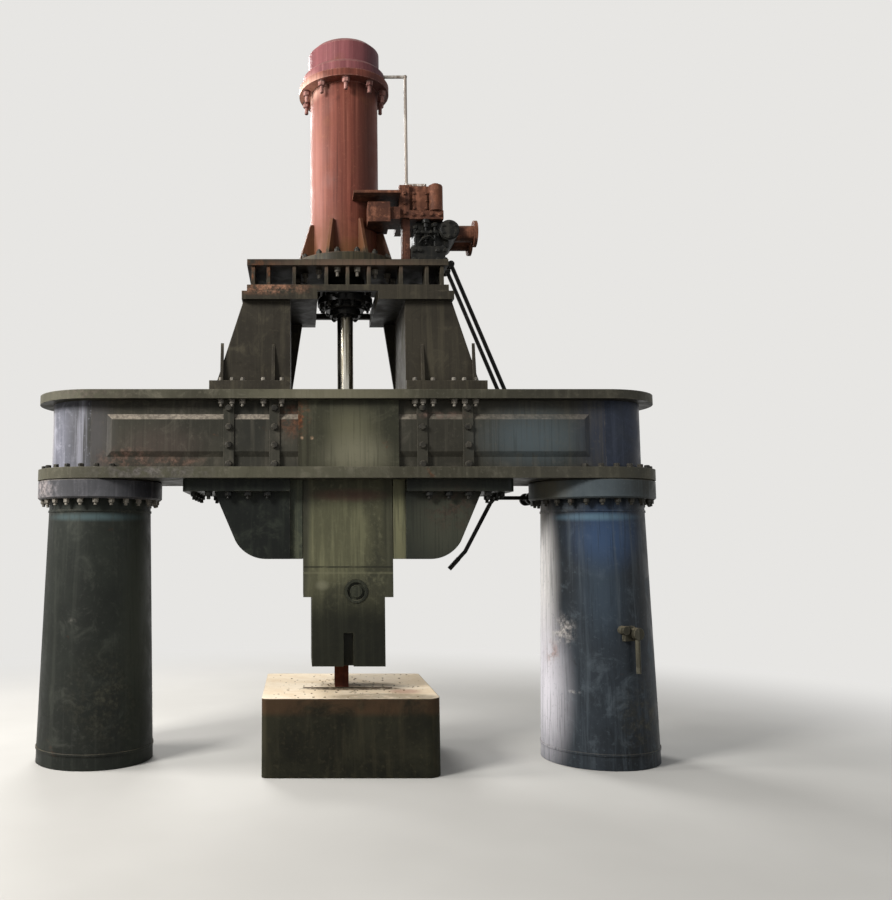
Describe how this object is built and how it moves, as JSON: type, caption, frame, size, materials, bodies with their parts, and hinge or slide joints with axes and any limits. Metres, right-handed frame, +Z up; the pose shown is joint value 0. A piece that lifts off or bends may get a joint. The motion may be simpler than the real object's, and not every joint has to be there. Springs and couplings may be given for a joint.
{
  "type": "steam hammer",
  "caption": "Bridge-type double-acting steam forging hammer: two round columns carry a box bridge and cylinder, and a guided ram falls on an anvil between them.",
  "frame": {"origin": "floor level, midway between the two columns, at the middle of the anvil's underside", "axes": "+Z up along the ram's travel, +X along the bridge to the right, -Y towards the front"},
  "size_m": [4.924, 1.476, 5.78],
  "materials": {
    "column_paint": "dark grey-green paint, scuffed",
    "bridge_paint": "dark olive grey paint, dusty, with rust at the joints",
    "cheek_paint": "nearly black green paint, oily",
    "ram_steel": "oily olive-brown forged steel",
    "bright_steel": "polished running surface",
    "anvil_steel": "dark forged block with a dusty pale top",
    "prop_rust": "dark red-brown post",
    "pedestal_paint": "dark olive paint with rust along the top",
    "black_fittings": "black oily fittings",
    "red_oxide": "red oxide primer with vertical streaks",
    "pipe_metal": "pale grey pipe",
    "rusty_casting": "rust-brown casting"
  },
  "bodies": {
    "frame": {"column_left": "column_paint", "column_right": "column_paint", "column_head_left": "column_paint", "column_head_right": "column_paint", "column_cleat": "column_paint", "bridge_bottom_flange": "bridge_paint", "bridge_top_flange": "bridge_paint", "bridge_web_front": "bridge_paint", "bridge_web_rear": "bridge_paint", "bridge_end_left": "bridge_paint", "bridge_end_right": "bridge_paint", "web_splices_front": "bridge_paint", "web_splices_rear": "bridge_paint", "shaft_cover_front": "bridge_paint", "shaft_cover_rear": "bridge_paint", "shaft_wall_left": "bridge_paint", "shaft_wall_right": "bridge_paint", "guide_cheek_left": "cheek_paint", "guide_cheek_right": "cheek_paint", "guide_rail_left": "cheek_paint", "guide_rail_right": "cheek_paint", "anvil": "anvil_steel", "ram_prop": "prop_rust", "pedestal_feet": "pedestal_paint", "pedestal_leg_left": "pedestal_paint", "pedestal_leg_right": "pedestal_paint", "pedestal_lower_plate": "pedestal_paint", "pedestal_upper_plate": "pedestal_paint", "pedestal_ribs": "pedestal_paint", "gland_housing": "black_fittings", "gland_follower": "black_fittings", "cylinder_foot": "pedestal_paint", "cylinder": "red_oxide", "cap_flange": "red_oxide", "cylinder_cap": "red_oxide", "cap_pipe": "pipe_metal", "port_block": "rusty_casting", "port_shelf": "rusty_casting", "steam_chest": "rusty_casting", "chest_covers": "rusty_casting", "steam_inlet": "rusty_casting", "steam_outlet": "rusty_casting", "valve_housing": "black_fittings", "shaft_bearing": "black_fittings", "lever_bracket": "black_fittings"},
    "ram": {"ram": "ram_steel", "ram_plug": "ram_steel", "piston_rod": "bright_steel", "piston": "bright_steel"},
    "valve_shaft": {"valve_shaft": "black_fittings"},
    "control_rods": {"control_rods": "black_fittings"},
    "hand_lever": {"hand_lever": "black_fittings"}
  },
  "joints": [
    {"name": "ram_slide", "type": "slide", "parent": "frame", "child": "ram", "axis": [0, 0, 1], "range_m": [0, 1.05]},
    {"name": "lever_turn", "type": "hinge", "parent": "frame", "child": "hand_lever", "pos_m": [1.647, 0.6, 2.05], "axis": [0, 1, 0], "range_deg": [-10, 10]},
    {"name": "rods_swing", "type": "hinge", "parent": "hand_lever", "child": "control_rods", "pos_m": [1.807, 0.6, 2.05], "axis": [0, 1, 0], "range_deg": [-10, 10]},
    {"name": "shaft_turn", "type": "hinge", "parent": "frame", "child": "valve_shaft", "pos_m": [0.815, 0.6, 4.135], "axis": [0, 1, 0], "range_deg": [-10, 10]}
  ],
  "couplings": [
    {"joint": "rods_swing", "follows": "lever_turn", "ratio": -1},
    {"joint": "shaft_turn", "follows": "lever_turn", "ratio": 1}
  ]
}
